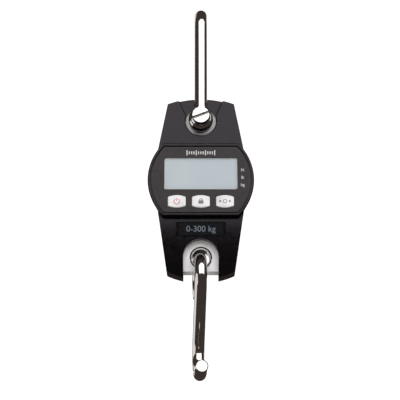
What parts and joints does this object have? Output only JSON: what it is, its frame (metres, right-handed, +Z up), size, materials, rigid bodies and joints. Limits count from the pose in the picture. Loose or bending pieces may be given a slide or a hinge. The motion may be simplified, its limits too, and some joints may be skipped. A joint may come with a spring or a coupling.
{
  "type": "hanging digital scale",
  "caption": "Handheld hanging scale: flat case with a display and keys on a load cell, hung by a long shackle, with an S hook below.",
  "frame": {"origin": "the hang point: the highest point inside the shackle's bow, where the rope, ring or hook above bears", "axes": "+Z up along the line of pull, -Y out of the display towards the reader, +X to the reader's right"},
  "size_m": [0.0692, 0.0426, 0.253],
  "materials": {
    "case_plastic": "fine-textured black moulding",
    "panel_plastic": "matt dark grey film",
    "rod_steel": "polished stainless steel rod",
    "pin_steel": "bright zinc-plated steel",
    "cell_aluminium": "bead-blasted and clear anodised",
    "bush_steel": "turned steel",
    "window_clear": "clear polished acrylic",
    "lcd_glass": "blue-grey reflective display",
    "holder_plastic": "white moulding",
    "button_plastic": "satin white moulding",
    "plate_plastic": "glossy black label plate",
    "black_rubber": "black rubber",
    "board": "green solder mask",
    "chip_plastic": "black moulded package",
    "nickel": "nickel-plated spring steel",
    "battery_jacket": "painted battery jacket",
    "gauge_film": "amber polyimide film"
  },
  "bodies": {
    "shackle": {"shackle_bow": "rod_steel", "shackle_pin": "pin_steel"},
    "case": {"load_cell": "cell_aluminium", "upper_bush": "bush_steel", "front_cover": "case_plastic", "rear_cover": "case_plastic", "faceplate": "panel_plastic", "lcd_window": "window_clear", "lcd_glass": "lcd_glass", "lcd_holder": "holder_plastic", "lcd_contact_strip": "black_rubber", "circuit_board": "board", "main_chip": "chip_plastic", "amplifier_chip": "chip_plastic", "clock_crystal": "nickel", "beeper": "chip_plastic", "capacity_plate": "plate_plastic", "switch_power": "chip_plastic", "switch_hold": "chip_plastic", "switch_tare": "chip_plastic", "sensor_lead": "black_rubber", "battery_1": "battery_jacket", "battery_spring_1": "nickel", "battery_2": "battery_jacket", "battery_spring_2": "nickel", "battery_3": "battery_jacket", "battery_spring_3": "nickel", "contact_plate_left": "nickel", "contact_plate_right": "nickel", "case_screw_1": "pin_steel", "strain_gauge_1": "gauge_film", "case_screw_2": "pin_steel", "strain_gauge_2": "gauge_film", "case_screw_3": "pin_steel", "strain_gauge_3": "gauge_film", "case_screw_4": "pin_steel", "strain_gauge_4": "gauge_film", "cell_screw_1": "pin_steel", "board_screw_1": "pin_steel", "cell_screw_2": "pin_steel", "board_screw_2": "pin_steel"},
    "bush": {"lower_bush": "bush_steel"},
    "hook": {"lower_hook": "rod_steel"},
    "power_button": {"button_power": "button_plastic"},
    "hold_button": {"button_hold": "button_plastic"},
    "tare_button": {"button_tare": "button_plastic"},
    "battery_door": {"battery_cover": "case_plastic"}
  },
  "joints": [
    {"name": "case_swing", "type": "hinge", "parent": "shackle", "child": "case", "pos_m": [0, 0, -0.074], "axis": [0, 1, 0], "range_deg": [-25, 25]},
    {"name": "hook_side_swing", "type": "hinge", "parent": "case", "child": "bush", "pos_m": [0, 0, -0.166], "axis": [0, 1, 0], "range_deg": [-20, 20]},
    {"name": "hook_fore_aft", "type": "hinge", "parent": "bush", "child": "hook", "pos_m": [0, 0, -0.178], "axis": [0.9976, 0.0698, 0], "range_deg": [-40, 40]},
    {"name": "power_press", "type": "slide", "parent": "case", "child": "power_button", "axis": [0, 1, 0], "range_m": [0, 0.0007], "stiffness_N_per_m": 600},
    {"name": "hold_press", "type": "slide", "parent": "case", "child": "hold_button", "axis": [0, 1, 0], "range_m": [0, 0.0007], "stiffness_N_per_m": 600},
    {"name": "tare_press", "type": "slide", "parent": "case", "child": "tare_button", "axis": [0, 1, 0], "range_m": [0, 0.0007], "stiffness_N_per_m": 600},
    {"name": "battery_door_slide", "type": "slide", "parent": "case", "child": "battery_door", "axis": [0, 0, -1], "range_m": [0, 0.044]}
  ]
}
